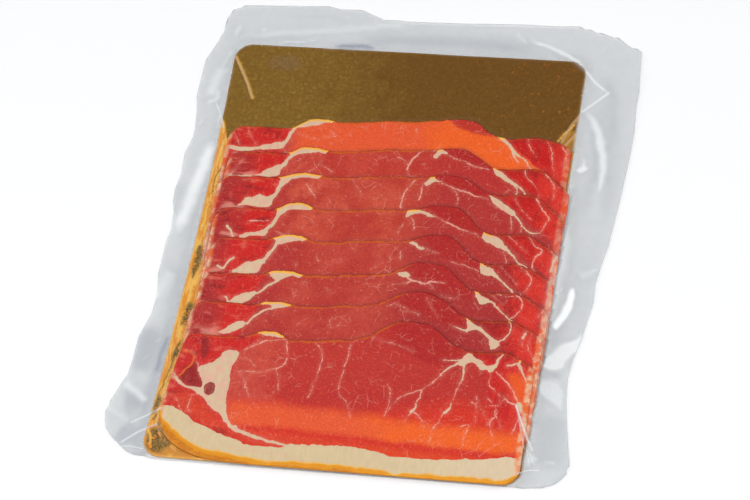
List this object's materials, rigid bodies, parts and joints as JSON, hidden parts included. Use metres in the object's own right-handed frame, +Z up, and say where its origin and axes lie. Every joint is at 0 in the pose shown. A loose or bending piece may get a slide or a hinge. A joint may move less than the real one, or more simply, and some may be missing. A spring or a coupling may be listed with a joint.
{
  "type": "vacuum pack of bacon slices",
  "caption": "Flat clear film pouch of bacon slices, shingled along a thin gold-faced board, to lie on a shelf or a plate.",
  "frame": {"origin": "centre of the pack's bounding box in plan, on the surface that it lies on", "axes": "+Z up out of the shown side, +Y along the pack towards the bare end of its gold board, +X to the right across it"},
  "size_m": [0.2162, 0.2552, 0.0078],
  "materials": {
    "clear_film": "gloss",
    "gold_card": "gloss",
    "bacon": "satin"
  },
  "bodies": {
    "root": {"film_pouch": "clear_film", "gold_board": "gold_card", "slice_1": "bacon", "slice_2": "bacon", "slice_3": "bacon", "slice_4": "bacon", "slice_5": "bacon", "slice_6": "bacon", "slice_7": "bacon", "slice_8": "bacon"}
  },
  "joints": []
}
